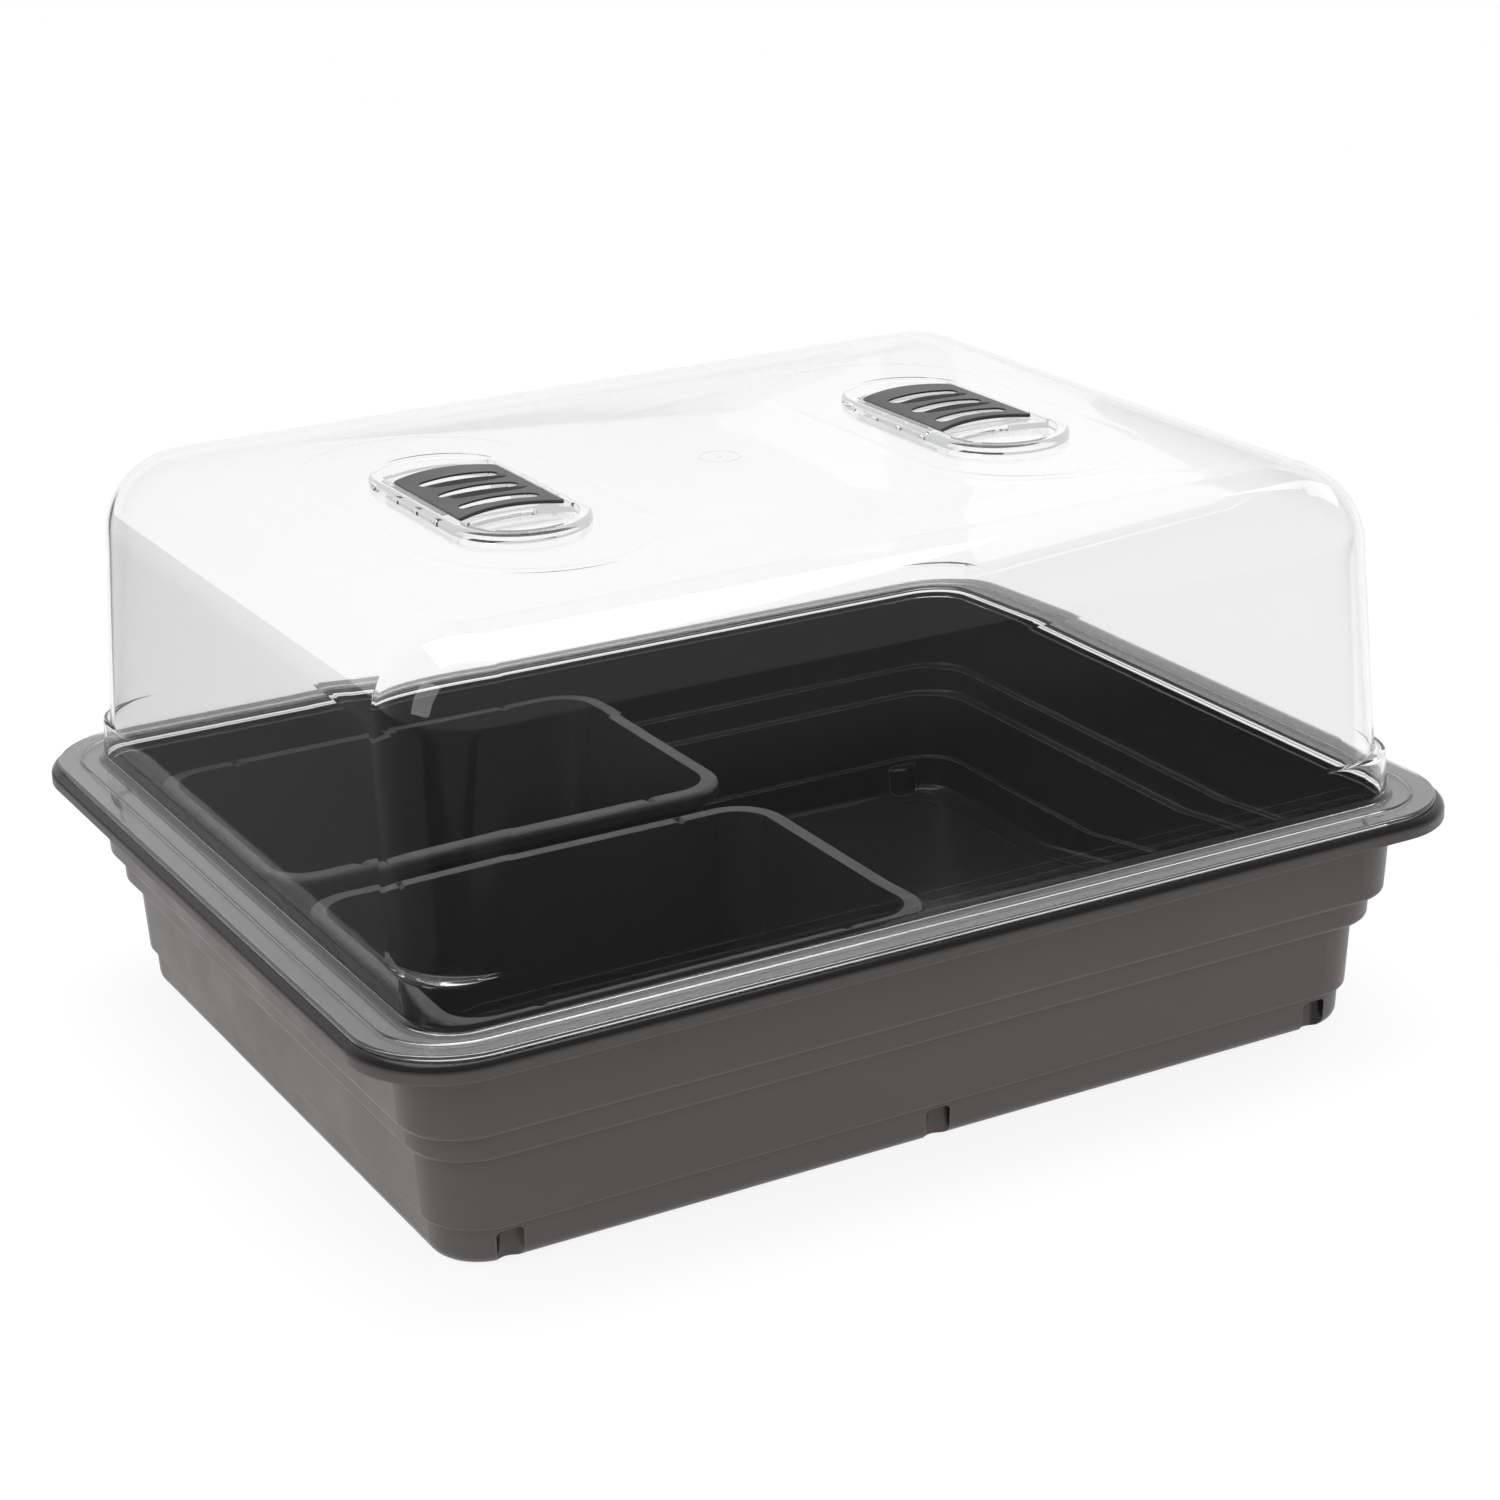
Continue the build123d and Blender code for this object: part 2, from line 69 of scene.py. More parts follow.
# The floor and the surroundings are pale and plain when they are seen direct or through the dome.
# Only their mirror images dim, in the bands below, which stand in for dark cards out of the picture.
# Their places and levels were chosen.
ANY_MIRROR = 0.5  # fewest mirror bounces that count; a limit of 1000 turns the dimming off
TABLE_FRONT = -0.385  # the floor's mirror image dims beyond these
TABLE_LEFT = -0.325
TABLE_FADE = 0.045
BEYOND_TABLE = 0.10
CORNER_SHIFT = 0.115  # how much farther out the left edge lies beside the near corner
CORNER_ZONE = (0.10, -0.15)  # along Y, from no shift to the whole of it
ROOM_FRONT = -0.68  # still farther out the mirror image is a little lighter again
ROOM_LEFT = -0.46
ROOM_FADE = 0.15
ROOM_SHARE = 0.92
ROOM_DIRECTION = (-0.45, -0.85, 0.25)  # towards the dimmest side of the surroundings
ROOM_TURN = (-0.75, 0.25)  # how far towards it the dimming starts, and where it is whole
ROOM_LEVEL = 0.35
WHITE_LEVEL = 0.95


def add_camera():
    """Long-lens camera that looks down on the near left corner, slightly rolled."""
    data = bpy.data.cameras.new("camera")
    data.sensor_width = 36.0
    data.lens = CAMERA_LENS
    data.clip_start = 0.05
    data.clip_end = 60.0
    camera = bpy.data.objects.new("camera", data)
    bpy.context.scene.collection.objects.link(camera)
    azimuth, elevation = math.radians(CAMERA_AZIMUTH), math.radians(CAMERA_ELEVATION)
    back = Vector(
        (
            math.sin(azimuth) * math.cos(elevation),
            -math.cos(azimuth) * math.cos(elevation),
            math.sin(elevation),
        )
    )
    right = Vector((math.cos(azimuth), math.sin(azimuth), 0.0))
    up = back.cross(right)
    level = Matrix((right, up, back)).transposed().to_4x4()
    roll = Matrix.Rotation(math.radians(CAMERA_ROLL), 4, "Z")
    camera.matrix_world = Matrix.Translation(CAMERA_PLACE) @ level @ roll
    bpy.context.scene.camera = camera


def add_lamp(name, place, size, power, mirrored_too):
    """Soft rectangular lamp that faces the object."""
    data = bpy.data.lights.new(name, "AREA")
    data.shape = "RECTANGLE"
    data.size, data.size_y = size
    data.energy = power
    light = bpy.data.objects.new(name, data)
    bpy.context.scene.collection.objects.link(light)
    light.location = place
    facing = Vector(LAMP_TARGET) - Vector(place)
    light.rotation_euler = facing.to_track_quat("-Z", "Y").to_euler()
    light.visible_glossy = mirrored_too


def node(tree, kind, **values):
    """New shader node; keys are its properties, or input sockets with spaces as underscores."""
    made = tree.nodes.new(kind)
    for key, value in values.items():
        if hasattr(made, key):
            setattr(made, key, value)
        else:
            made.inputs[key.replace("_", " ")].default_value = value
    return made


def mirrored(tree):
    """1 for light that reached the eye by a reflection, 0 for all that is seen direct or through."""
    path = tree.nodes.new("ShaderNodeLightPath")
    turned = node(tree, "ShaderNodeMath", operation="GREATER_THAN")
    turned.inputs[1].default_value = ANY_MIRROR
    tree.links.new(path.outputs["Glossy Depth"], turned.inputs[0])
    return turned.outputs[0]


def add_world():
    """White studio whose mirror image falls off to a dim room in front of the object."""
    world = bpy.data.worlds.new("studio")
    bpy.context.scene.world = world
    world.use_nodes = True
    tree = world.node_tree
    tree.nodes.clear()
    link = tree.links.new
    output = tree.nodes.new("ShaderNodeOutputWorld")
    background = node(tree, "ShaderNodeBackground", Strength=1.0)
    coordinates = tree.nodes.new("ShaderNodeTexCoord")
    along = node(tree, "ShaderNodeVectorMath", operation="DOT_PRODUCT")
    along.inputs[1].default_value = ROOM_DIRECTION
    level = node(
        tree,
        "ShaderNodeMapRange",
        interpolation_type="SMOOTHSTEP",
        From_Min=ROOM_TURN[0],
        From_Max=ROOM_TURN[1],
        To_Min=WHITE_LEVEL,
        To_Max=ROOM_LEVEL,
    )
    seen = node(tree, "ShaderNodeMix", data_type="FLOAT")
    seen.inputs["A"].default_value = 1.0
    link(coordinates.outputs["Generated"], along.inputs[0])
    link(along.outputs["Value"], level.inputs["Value"])
    link(mirrored(tree), seen.inputs["Factor"])
    link(level.outputs["Result"], seen.inputs["B"])
    link(seen.outputs["Result"], background.inputs["Color"])
    link(background.outputs[0], output.inputs["Surface"])


def add_floor():
    """Pale floor that runs out into the white of the studio."""
    mesh = bmesh.new()
    bmesh.ops.create_circle(mesh, cap_ends=True, radius=FLOOR_RADIUS, segments=96)
    data = bpy.data.meshes.new("floor")
    mesh.to_mesh(data)
    mesh.free()
    floor = bpy.data.objects.new("floor", data)
    bpy.context.scene.collection.objects.link(floor)
    material = bpy.data.materials.new("floor_paint")
    material.use_nodes = True
    tree = material.node_tree
    link = tree.links.new
    tree.nodes.clear()
    coordinates = tree.nodes.new("ShaderNodeTexCoord")
    split = tree.nodes.new("ShaderNodeSeparateXYZ")
    link(coordinates.outputs["Object"], split.inputs[0])
    nearer = node(
        tree,
        "ShaderNodeMapRange",
        interpolation_type="SMOOTHSTEP",
        From_Min=CORNER_ZONE[0],
        From_Max=CORNER_ZONE[1],
        To_Max=CORNER_SHIFT,
    )
    link(split.outputs["Y"], nearer.inputs["Value"])
    shifted = node(tree, "ShaderNodeMath", operation="ADD")
    link(split.outputs["X"], shifted.inputs[0])
    link(nearer.outputs["Result"], shifted.inputs[1])
    beyond = node(tree, "ShaderNodeMath", operation="MAXIMUM")
    for index, (place_on, edge, far_edge) in enumerate(
        (
            (split.outputs["Y"], TABLE_FRONT, ROOM_FRONT),
            (shifted.outputs[0], TABLE_LEFT, ROOM_LEFT),
        )
    ):
        band = node(tree, "ShaderNodeMath", operation="MULTIPLY")
        for step, (place, width, low, high) in enumerate(
            ((edge, TABLE_FADE, 0.0, 1.0), (far_edge, ROOM_FADE, 1.0, ROOM_SHARE))
        ):
            past = node(
                tree,
                "ShaderNodeMapRange",
                interpolation_type="SMOOTHSTEP",
                From_Min=place,
                From_Max=place - width,
                To_Min=low,
                To_Max=high,
            )
            link(place_on, past.inputs["Value"])
            link(past.outputs["Result"], band.inputs[step])
        link(band.outputs[0], beyond.inputs[index])
    dim = node(tree, "ShaderNodeMath", operation="MULTIPLY")
    link(beyond.outputs[0], dim.inputs[0])
    link(mirrored(tree), dim.inputs[1])
    grain = node(tree, "ShaderNodeTexNoise", Scale=30.0, Detail=3.0)
    link(coordinates.outputs["Object"], grain.inputs["Vector"])
    pale = node(tree, "ShaderNodeMapRange", To_Min=FLOOR_PALE[0], To_Max=FLOOR_PALE[1])
    link(grain.outputs["Fac"], pale.inputs["Value"])
    tone = node(tree, "ShaderNodeMix", data_type="FLOAT")
    tone.inputs["B"].default_value = BEYOND_TABLE
    link(dim.outputs[0], tone.inputs["Factor"])
    link(pale.outputs["Result"], tone.inputs["A"])
    paint = node(tree, "ShaderNodeBsdfDiffuse")
    link(tone.outputs["Result"], paint.inputs["Color"])
    glow_tone = node(tree, "ShaderNodeMix", data_type="FLOAT")
    glow_tone.inputs["A"].default_value = 1.0
    glow_tone.inputs["B"].default_value = BEYOND_TABLE
    link(dim.outputs[0], glow_tone.inputs["Factor"])
    glow = node(tree, "ShaderNodeEmission", Strength=1.0)
    link(glow_tone.outputs["Result"], glow.inputs["Color"])
    reach = node(tree, "ShaderNodeVectorMath", operation="LENGTH")
    link(coordinates.outputs["Object"], reach.inputs[0])
    far = node(
        tree,
        "ShaderNodeMapRange",
        interpolation_type="SMOOTHSTEP",
        From_Min=FLOOR_GLOW_REACH[0],
        From_Max=FLOOR_GLOW_REACH[1],
        To_Min=FLOOR_GLOW,
    )
    link(reach.outputs["Value"], far.inputs["Value"])
    mix = tree.nodes.new("ShaderNodeMixShader")
    link(far.outputs["Result"], mix.inputs[0])
    link(paint.outputs[0], mix.inputs[1])
    link(glow.outputs[0], mix.inputs[2])
    output = tree.nodes.new("ShaderNodeOutputMaterial")
    link(mix.outputs[0], output.inputs["Surface"])
    data.materials.append(material)


# ---------------------------------------------------------------- materials
PLASTIC_IOR = 1.49
OUTWARD = (0.03, 0.09)  # how far a wall faces from the middle, from the painted shade of the inside to the outside colour
PAINTED_SHADE_FADE = 0.0015  # height over which the painted shade of the inside starts
WORN_RADIUS = 0.0012
WORN_EDGE = (0.995, 0.90)  # agreement of the real and the rounded normal, from whole to rubbed
WORN_LIGHTER = 1.9
ROUGHNESS_SWING = (-0.05, 0.06)
GRAIN_DEPTH = 0.00006

CLEAR_TINT = (0.994, 0.996, 0.997, 1.0)
CLEAR_ROUGHNESS = 0.006  # at the most smeared places
LAMP_TINT = (0.82, 0.83, 0.83, 1.0)  # what the dome lets through of the lamps' light
TRAPPED_AFTER = (("Glossy Depth", 3.5), ("Ray Depth", 10.5))
GUIDED_GREY = (0.62, 0.63, 0.64)  # stands for light that is trapped inside the clear walls
GLOW_STARTS = 12.0 * MM  # below the roof: under it the trapped light is faint
GLOW_WHOLE = 4.0 * MM  # below the roof: over it the trapped light is whole
FAINT_GLOW = 0.10


def cloudy(tree, cloud, dark, light):
    """Colour that wanders between two tones with a noise."""
    tint = node(tree, "ShaderNodeMix", data_type="RGBA")
    tint.inputs["A"].default_value = (*dark, 1.0)
    tint.inputs["B"].default_value = (*light, 1.0)
    tree.links.new(cloud.outputs["Fac"], tint.inputs["Factor"])
    return tint.outputs["Result"]


def outer_walls(tree, coordinates, height):
    """1 on walls that face away from the middle of the piece below a height, 0 elsewhere, which gets
    painted shade.
    """
    link = tree.links.new
    geometry = tree.nodes.new("ShaderNodeNewGeometry")
    level = node(tree, "ShaderNodeVectorMath", operation="MULTIPLY")
    level.inputs[1].default_value = (1.0, 1.0, 0.0)
    link(coordinates.outputs["Object"], level.inputs[0])
    outward = node(tree, "ShaderNodeVectorMath", operation="DOT_PRODUCT")
    link(geometry.outputs["Normal"], outward.inputs[0])
    link(level.outputs["Vector"], outward.inputs[1])
    facing = node(tree, "ShaderNodeMapRange", From_Min=OUTWARD[0], From_Max=OUTWARD[1])
    link(outward.outputs["Value"], facing.inputs["Value"])
    split = tree.nodes.new("ShaderNodeSeparateXYZ")
    link(coordinates.outputs["Object"], split.inputs[0])
    below = node(tree, "ShaderNodeMapRange", From_Min=height + PAINTED_SHADE_FADE, From_Max=height)
    link(split.outputs["Z"], below.inputs["Value"])
    both = node(tree, "ShaderNodeMath", operation="MULTIPLY")
    link(facing.outputs["Result"], both.inputs[0])
    link(below.outputs["Result"], both.inputs[1])
    return both.outputs[0]


def moulded_plastic(name, dark, light, roughness, grain=0.2, inside=None, specular=0.5):
    """Satin moulded plastic: cloudy colour, fine leather grain, flow marks and rubbed edges.

    inside, (dark, light, roughness, height), is painted shade: a darker colour, with its own
    roughness, on all but the walls that face outwards below that height.
    """
    material = bpy.data.materials.new(name)
    material.use_nodes = True
    tree = material.node_tree
    link = tree.links.new
    shader = tree.nodes["Principled BSDF"]
    shader.inputs["IOR"].default_value = PLASTIC_IOR
    shader.inputs["Specular IOR Level"].default_value = specular
    coordinates = tree.nodes.new("ShaderNodeTexCoord")

    cloud = node(tree, "ShaderNodeTexNoise", Scale=14.0, Detail=4.0, Roughness=0.6)
    link(coordinates.outputs["Object"], cloud.inputs["Vector"])
    colour = cloudy(tree, cloud, dark, light)
    # Painted shade: all but the outer walls below the given height get the darker inside colour.
    if inside:
        outer = outer_walls(tree, coordinates, inside[3])
        shaded_inside_mix = node(tree, "ShaderNodeMix", data_type="RGBA")
        link(outer, shaded_inside_mix.inputs["Factor"])
        link(cloudy(tree, cloud, inside[0], inside[1]), shaded_inside_mix.inputs["A"])
        link(colour, shaded_inside_mix.inputs["B"])
        colour = shaded_inside_mix.outputs["Result"]

    edge = tree.nodes.new("ShaderNodeBevel")
    edge.samples = 4
    edge.inputs["Radius"].default_value = WORN_RADIUS
    plain = tree.nodes.new("ShaderNodeNewGeometry")
    facing = node(tree, "ShaderNodeVectorMath", operation="DOT_PRODUCT")
    link(edge.outputs["Normal"], facing.inputs[0])
    link(plain.outputs["Normal"], facing.inputs[1])
    worn = node(tree, "ShaderNodeMapRange", From_Min=WORN_EDGE[0], From_Max=WORN_EDGE[1])
    link(facing.outputs["Value"], worn.inputs["Value"])
    scuff = node(tree, "ShaderNodeTexNoise", Scale=220.0, Detail=3.0)
    link(coordinates.outputs["Object"], scuff.inputs["Vector"])
    rubbed = node(tree, "ShaderNodeMath", operation="MULTIPLY")
    link(worn.outputs["Result"], rubbed.inputs[0])
    link(scuff.outputs["Fac"], rubbed.inputs[1])
    edged = node(tree, "ShaderNodeMix", data_type="RGBA")
    edged.inputs["B"].default_value = (*(min(1.0, WORN_LIGHTER * part) for part in light), 1.0)
    link(rubbed.outputs[0], edged.inputs["Factor"])
    link(colour, edged.inputs["A"])
    link(edged.outputs["Result"], shader.inputs["Base Color"])

    smear = node(tree, "ShaderNodeTexNoise", Scale=32.0, Detail=5.0, Roughness=0.55)
    link(coordinates.outputs["Object"], smear.inputs["Vector"])
    gloss = node(
        tree,
        "ShaderNodeMapRange",
        From_Min=0.3,
        From_Max=0.7,
        To_Min=roughness + ROUGHNESS_SWING[0],
        To_Max=roughness + ROUGHNESS_SWING[1],
    )
    link(smear.outputs["Fac"], gloss.inputs["Value"])
    rough = gloss.outputs["Result"]
    if inside:
        share = node(tree, "ShaderNodeMapRange", To_Min=inside[2] / roughness)
        link(outer, share.inputs["Value"])
        scaled = node(tree, "ShaderNodeMath", operation="MULTIPLY")
        link(rough, scaled.inputs[0])
        link(share.outputs["Result"], scaled.inputs[1])
        rough = scaled.outputs[0]
    link(rough, shader.inputs["Roughness"])

    leather = node(tree, "ShaderNodeTexNoise", Scale=1300.0, Detail=2.0)
    link(coordinates.outputs["Object"], leather.inputs["Vector"])
    bump = node(tree, "ShaderNodeBump", Strength=grain, Distance=GRAIN_DEPTH)
    link(leather.outputs["Fac"], bump.inputs["Height"])
    link(bump.outputs["Normal"], shader.inputs["Normal"])
    return material


def clear_plastic(name, roof):
    """Clear rigid plastic that the lamps shine through.

    Light that has bounced many times inside it becomes a grey glow, strongest beside the roof,
    because the renderer drops such light and would leave black lines.
    """
    material = bpy.data.materials.new(name)
    material.cycles.emission_sampling = "NONE"
    material.use_nodes = True
    tree = material.node_tree
    link = tree.links.new
    shader = tree.nodes["Principled BSDF"]
    shader.inputs["Base Color"].default_value = CLEAR_TINT
    shader.inputs["IOR"].default_value = PLASTIC_IOR
    shader.inputs["Transmission Weight"].default_value = 1.0
    coordinates = tree.nodes.new("ShaderNodeTexCoord")
    smear = node(tree, "ShaderNodeTexNoise", Scale=9.0, Detail=4.0)
    link(coordinates.outputs["Object"], smear.inputs["Vector"])
    gloss = node(
        tree, "ShaderNodeMapRange", From_Min=0.35, From_Max=0.75, To_Max=CLEAR_ROUGHNESS
    )
    link(smear.outputs["Fac"], gloss.inputs["Value"])
    link(gloss.outputs["Result"], shader.inputs["Roughness"])
    lamps = node(tree, "ShaderNodeBsdfTransparent", Color=LAMP_TINT)
    path = tree.nodes.new("ShaderNodeLightPath")
    trapped = node(tree, "ShaderNodeMath", operation="MAXIMUM")
    for index, (count, most) in enumerate(TRAPPED_AFTER):
        over = node(tree, "ShaderNodeMath", operation="GREATER_THAN")
        over.inputs[1].default_value = most
        link(path.outputs[count], over.inputs[0])
        link(over.outputs[0], trapped.inputs[index])
    glow = node(tree, "ShaderNodeEmission", Color=(*GUIDED_GREY, 1.0))
    split = tree.nodes.new("ShaderNodeSeparateXYZ")
    link(coordinates.outputs["Object"], split.inputs[0])
    lit = node(
        tree,
        "ShaderNodeMapRange",
        From_Min=roof - GLOW_STARTS,
        From_Max=roof - GLOW_WHOLE,
        To_Min=FAINT_GLOW,
    )
    link(split.outputs["Z"], lit.inputs["Value"])
    link(lit.outputs["Result"], glow.inputs["Strength"])
    guided = tree.nodes.new("ShaderNodeMixShader")
    link(trapped.outputs[0], guided.inputs[0])
    link(shader.outputs[0], guided.inputs[1])
    link(glow.outputs[0], guided.inputs[2])
    mix = tree.nodes.new("ShaderNodeMixShader")
    link(path.outputs["Is Shadow Ray"], mix.inputs[0])
    link(guided.outputs[0], mix.inputs[1])
    link(lamps.outputs[0], mix.inputs[2])
    link(mix.outputs[0], tree.nodes["Material Output"].inputs["Surface"])
    return material


def dress(node_name, material):
    """Gives a CAD node its one material."""
    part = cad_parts[node_name]
    part.data.materials.clear()
    part.data.materials.append(material)


# ---------------------------------------------------------------- clear dome
ARC_STEPS = 22  # segments in each rounded corner of a ring
LONG_STEPS = 14  # segments along each straight side of a ring

DOME_WALL = 2.0 * MM
FLANGE_RADIUS = 42.0 * MM
FLANGE_THICKNESS = 2.0 * MM
FLANGE_ROUNDING = 1.4 * MM
FLANGE_UNDERCUT = 0.3 * MM  # rounding of the flange's lower edge
FLANGE_UNDERCUT_MIDDLE = 0.09 * MM
BEAD_INSET = 9.8 * MM
BEAD_WIDTH = 1.8 * MM
BEAD_HEIGHT = 0.7 * MM
BEAD_ROUNDING = 0.6 * MM
LIP_DEPTH = 3.2 * MM
LIP_INSET = 0.6 * MM
LIP_ROUNDING = 0.8 * MM
FOOT_X, FOOT_Y = 236.2 * MM, 189.7 * MM
FOOT_RADIUS = 34.0 * MM
FOOT_FILLET = 3.0 * MM
TOP_X, TOP_Y = 230.1 * MM, 184.2 * MM
TOP_RADIUS = 43.6 * MM
EDGE_ROUNDING = 36.9 * MM
LUG_RADIUS = 23.0 * MM
LUG_HEIGHT = 20.3 * MM
LUG_ROUNDING = 1.8 * MM
LUG_CREASE = 0.7 * MM
LUG_SLOPE = 0.15 * MM  # fall of the ledge on top of each lug
FRAME_RISE = 4.4 * MM  # top of a vent frame above the roof
CORNER_SHARE = math.sqrt(2.0) - 1.0  # how far a corner moves per unit of its radius
SUPPORT = 0.35 * MM  # narrow ring that keeps a flat face flat beside a rounding


def ring(half_x, half_y, radius, height, centre=(0.0, 0.0)):
    """Points of a level rounded rectangle, counter-clockwise from the right end of its front side."""
    points = []
    corners = ((1, -1, -90), (1, 1, 0), (-1, 1, 90), (-1, -1, 180))
    for side_x, side_y, start in corners:
        middle = (side_x * (half_x - radius), side_y * (half_y - radius))
        for step in range(ARC_STEPS + 1):
            angle = math.radians(start + 90.0 * step / ARC_STEPS)
            points.append(
                (middle[0] + radius * math.cos(angle), middle[1] + radius * math.sin(angle))
            )
        following = corners[(corners.index((side_x, side_y, start)) + 1) % 4]
        arrive = math.radians(following[2])
        target = (
            following[0] * (half_x - radius) + radius * math.cos(arrive),
            following[1] * (half_y - radius) + radius * math.sin(arrive),
        )
        last = points[-1]
        if math.dist(last, target) > MM:
            for step in range(1, LONG_STEPS):
                share = step / LONG_STEPS
                points.append(
                    (last[0] + share * (target[0] - last[0]), last[1] + share * (target[1] - last[1]))
                )
        else:
            points.pop()
    return [(centre[0] + x, centre[1] + y, height) for x, y in points]


def stack_rings(mesh, rings, close_ends=True):
    """Skins a list of rings with quads, first and last closed by one face each."""
    loops = [[mesh.verts.new(point) for point in points] for points in rings]
    for low, high in zip(loops, loops[1:]):
        count = len(low)
        for index in range(count):
            after = (index + 1) % count
            mesh.faces.new((low[index], low[after], high[after], high[index]))
    if close_ends:
        mesh.faces.new(reversed(loops[0]))
        mesh.faces.new(loops[-1])


def quarter(steps):
    """Angles from 0 to 90 degrees, both ends included."""
    return [math.radians(90.0 * step / steps) for step in range(steps + 1)]


class DomeShape:
    """Plan of the dome body at any height, and its rounded outline rings."""

    def __init__(self, flange_bottom, roof):
        self.flange_top = flange_bottom + FLANGE_THICKNESS
        self.roof = roof

    def plan(self, height):
        """Half length, half width and corner radius of the outside at a height."""
        share = (height - self.flange_top) / (self.roof - self.flange_top)
        return (
            FOOT_X + share * (TOP_X - FOOT_X),
            FOOT_Y + share * (TOP_Y - FOOT_Y),
            FOOT_RADIUS + share * (TOP_RADIUS - FOOT_RADIUS),
        )

    def wall(self, height, inset, radius=None):
        """Ring of the wall at a height, set in from the outside."""
        half_x, half_y, own_radius = self.plan(height)
        radius = own_radius if radius is None else radius
        return ring(half_x - inset, half_y - inset, radius - inset, height)

    def body_rings(self, inset):
        """Rings of one skin from just above the flange to the middle of the roof."""
        rings = []
        lug_top = self.flange_top + LUG_HEIGHT - inset
        for angle in quarter(6):
            height = lug_top - LUG_ROUNDING + LUG_ROUNDING * math.sin(angle)
            cut = LUG_ROUNDING * (1.0 - math.cos(angle)) / CORNER_SHARE
            rings.append(self.wall(height, inset, LUG_RADIUS + cut))
        body_radius = self.plan(lug_top)[2]
        for angle in quarter(4):
            height = lug_top + LUG_SLOPE + LUG_CREASE * (1.0 - math.cos(angle))
            cut = LUG_CREASE * (1.0 - math.sin(angle)) / CORNER_SHARE
            rings.append(self.wall(height, inset, body_radius - cut))
        rounding = EDGE_ROUNDING - inset
        centre_height = self.roof - EDGE_ROUNDING
        half_x, half_y, radius = self.plan(centre_height)
        lean = math.atan((FOOT_X - TOP_X) / (self.roof - self.flange_top))
        start = centre_height + rounding * math.sin(lean)
        low = lug_top + LUG_SLOPE + LUG_CREASE
        for step in range(1, 10):
            rings.append(self.wall(low + (start - low) * step / 10.0, inset))
        steps = 26
        pull = EDGE_ROUNDING / math.cos(lean)
        for step in range(steps + 1):
            angle = lean + (math.pi / 2.0 - lean) * step / steps
            grow = rounding * math.cos(angle) - pull
            rings.append(
                ring(
                    half_x + grow,
                    half_y + grow,
                    radius + grow,
                    centre_height + rounding * math.sin(angle),
                )
            )
        rings.append(
            ring(
                half_x - pull - SUPPORT,
                half_y - pull - SUPPORT,
                radius - pull - SUPPORT,
                self.roof - inset,
            )
        )
        return rings


def flange_rings(shape, flange_x, flange_y):
    """Rings from the inner bottom edge of the locating lip, round the flange, to the wall's foot."""
    bottom, top = shape.flange_top - FLANGE_THICKNESS, shape.flange_top
    lip_bottom = bottom - LIP_DEPTH
    rings = [ring(FOOT_X - DOME_WALL, FOOT_Y - DOME_WALL, LUG_RADIUS - DOME_WALL, lip_bottom)]
    lip = (FOOT_X - LIP_INSET, FOOT_Y - LIP_INSET, LUG_RADIUS - LIP_INSET)
    for angle in quarter(4):
        back = LIP_ROUNDING * (1.0 - math.sin(angle))
        height = lip_bottom + LIP_ROUNDING * (1.0 - math.cos(angle))
        rings.append(ring(lip[0] - back, lip[1] - back, lip[2] - back, height))
    rings.append(ring(*lip, bottom))

    def flange(inset, height):
        rings.append(ring(flange_x - inset, flange_y - inset, FLANGE_RADIUS - inset, height))

    for inset in (LIP_ROUNDING, FLANGE_UNDERCUT):
        flange(inset, bottom)
    flange(FLANGE_UNDERCUT_MIDDLE, bottom + FLANGE_UNDERCUT_MIDDLE)
    flange(0.0, bottom + FLANGE_UNDERCUT)
    for angle in quarter(6):
        height = top - FLANGE_ROUNDING * (1.0 - math.sin(angle))
        flange(FLANGE_ROUNDING * (1.0 - math.cos(angle)), height)
    flange(FLANGE_ROUNDING + SUPPORT, top)
    flange(BEAD_INSET - SUPPORT, top)
    flange(BEAD_INSET, top)
    crest = top + BEAD_HEIGHT
    for angle in quarter(4):
        height = crest - BEAD_ROUNDING * (1.0 - math.sin(angle))
        flange(BEAD_INSET + BEAD_ROUNDING * (1.0 - math.cos(angle)), height)
    for angle in quarter(4):
        height = crest - BEAD_ROUNDING * (1.0 - math.cos(angle))
        flange(BEAD_INSET + BEAD_WIDTH - BEAD_ROUNDING * (1.0 - math.sin(angle)), height)
    flange(BEAD_INSET + BEAD_WIDTH, top)
    flange(BEAD_INSET + BEAD_WIDTH + SUPPORT, top)
    rings.append(
        ring(
            FOOT_X + FOOT_FILLET + SUPPORT,
            FOOT_Y + FOOT_FILLET + SUPPORT,
            LUG_RADIUS + FOOT_FILLET + SUPPORT,
            top,
        )
    )
    for angle in quarter(8):
        height = top + FOOT_FILLET * (1.0 - math.cos(angle))
        half_x, half_y, _ = shape.plan(height)
        grow = FOOT_FILLET * (1.0 - math.sin(angle))
        rings.append(ring(half_x + grow, half_y + grow, LUG_RADIUS + grow, height))
    return rings


VENT_X = 118.5 * MM
PLATEAU_HALF_X, PLATEAU_HALF_Y = 53.0 * MM, 112.0 * MM
PLATEAU_RISE = 0.35 * MM
PLATEAU_SLOPE = 7.0 * MM  # width of the soft slope round the plateau
PLATEAU_SINK = 0.03 * MM  # how far below the roof that slope starts
FRAME_HALF_X, FRAME_HALF_Y = 31.0 * MM, 69.0 * MM
FRAME_Y = -4.5 * MM
FRAME_ROUNDING = 2.0 * MM
FRAME_WALL = 5.0 * MM
PLATFORM_RISE = 2.9 * MM
POCKET_HALF_X = 24.9 * MM
BOW_RADIUS = 55.08 * MM  # curvature that the vent's arched ends and slots share
FRONT_ARCH_Y = -36.5 * MM
BACK_ARCH_Y = 44.0 * MM
CHANNEL_HALF_X = 22.4 * MM
CHANNEL_RISE = 0.9 * MM
CHANNEL_Y = (-27.0 * MM, 35.0 * MM)
TONGUE_REACH = 1.9 * MM
TONGUE_ROOF_RISE = 3.0 * MM
TONGUE_OVERLAP = 0.3 * MM
